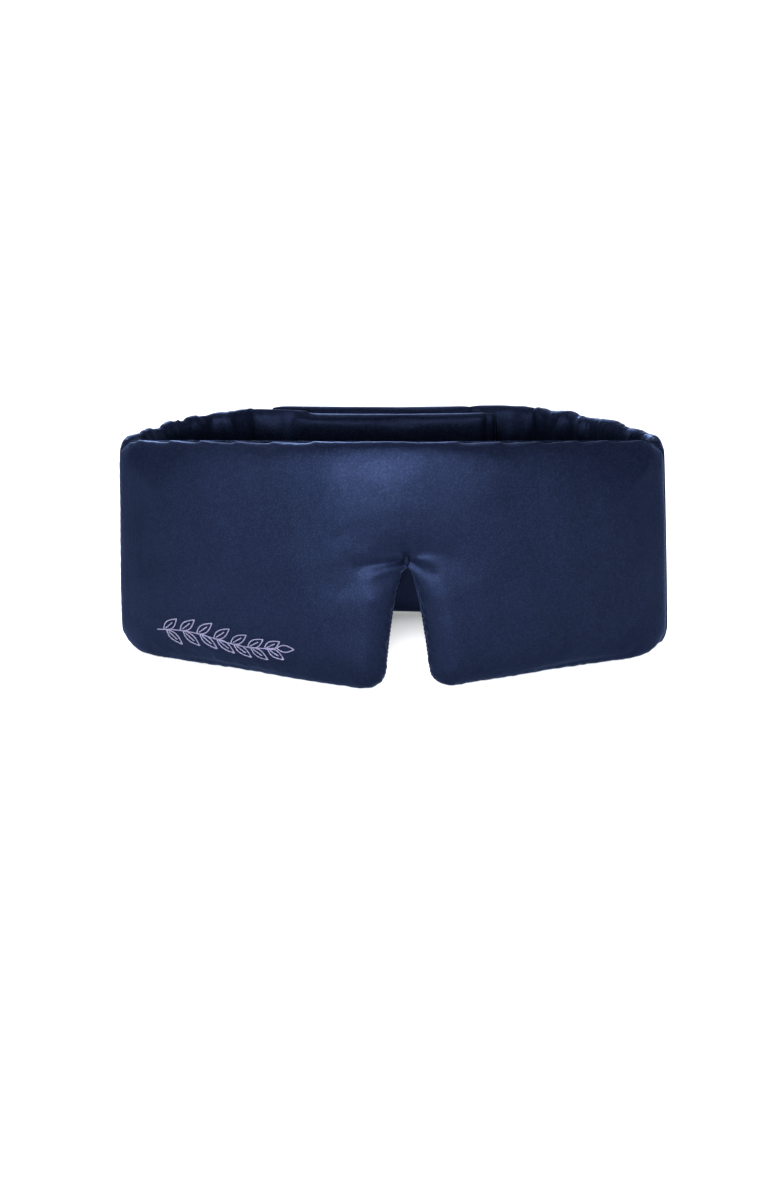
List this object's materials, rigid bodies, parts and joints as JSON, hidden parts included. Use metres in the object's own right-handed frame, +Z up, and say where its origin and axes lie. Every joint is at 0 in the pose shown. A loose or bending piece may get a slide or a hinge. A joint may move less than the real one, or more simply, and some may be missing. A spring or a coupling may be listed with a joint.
{
  "type": "sleep eye mask",
  "caption": "Padded satin wrap-around sleep mask: front panel with a nose notch, ruched side bands and two straps that overlap at a hook-and-loop closure behind the head.",
  "frame": {"origin": "on the surface that the mask stands on, at the middle of its bounding box", "axes": "+Z up, -Y out of the front panel, +X to the right of someone who faces the front panel"},
  "size_m": [0.252, 0.1036, 0.1175],
  "materials": {
    "satin": "navy satin weave, soft sheen",
    "lining": "navy satin, slightly duller",
    "wadding": "matt fibre wadding",
    "blackout": "matt black coated cloth",
    "elastic": "woven elastic webbing",
    "closure": "navy hook and loop tape, matt",
    "thread": "lilac embroidery thread, satin stitch"
  },
  "bodies": {
    "front": {"front_cover": "satin", "face_lining": "lining", "front_padding": "wadding", "blackout_layer": "blackout", "embroidered_sprig": "thread", "nose_bar_tack": "satin", "left_side_seam": "lining", "right_side_seam": "lining"},
    "left_band": {"left_band_cover": "satin", "left_band_lining": "lining", "left_band_padding": "wadding", "left_band_elastic": "elastic", "left_strap_seam": "lining"},
    "inner_strap": {"inner_strap_cover": "satin", "inner_strap_lining": "lining", "inner_strap_padding": "wadding", "hook_tape": "closure"},
    "right_band": {"right_band_cover": "satin", "right_band_lining": "lining", "right_band_padding": "wadding", "right_band_elastic": "elastic", "right_strap_seam": "lining"},
    "outer_strap": {"outer_strap_cover": "satin", "outer_strap_lining": "lining", "outer_strap_padding": "wadding"},
    "closure_flap": {"closure_flap_cover": "satin", "closure_flap_lining": "lining", "closure_flap_padding": "wadding", "loop_tape": "closure"}
  },
  "joints": [
    {"name": "left_side_fold", "type": "hinge", "parent": "front", "child": "left_band", "pos_m": [-0.12172, 0.00171, 0.052], "axis": [0, 0, 1], "range_deg": [0, 35]},
    {"name": "inner_strap_fold", "type": "hinge", "parent": "left_band", "child": "inner_strap", "pos_m": [-0.0665, 0.03985, 0.052], "axis": [0, 0, -1], "range_deg": [0, 35]},
    {"name": "right_side_fold", "type": "hinge", "parent": "front", "child": "right_band", "pos_m": [0.12172, 0.00171, 0.052], "axis": [0, 0, -1], "range_deg": [0, 35]},
    {"name": "outer_strap_fold", "type": "hinge", "parent": "right_band", "child": "outer_strap", "pos_m": [0.0665, 0.03985, 0.052], "axis": [0, 0, 1], "range_deg": [0, 35]},
    {"name": "closure_peel", "type": "hinge", "parent": "outer_strap", "child": "closure_flap", "pos_m": [0.036, 0.0518, 0.052], "axis": [0, 0, -1], "range_deg": [0, 140]}
  ],
  "couplings": [
    {"joint": "inner_strap_fold", "follows": "left_side_fold", "ratio": 1},
    {"joint": "right_side_fold", "follows": "left_side_fold", "ratio": 1},
    {"joint": "outer_strap_fold", "follows": "left_side_fold", "ratio": 1}
  ]
}
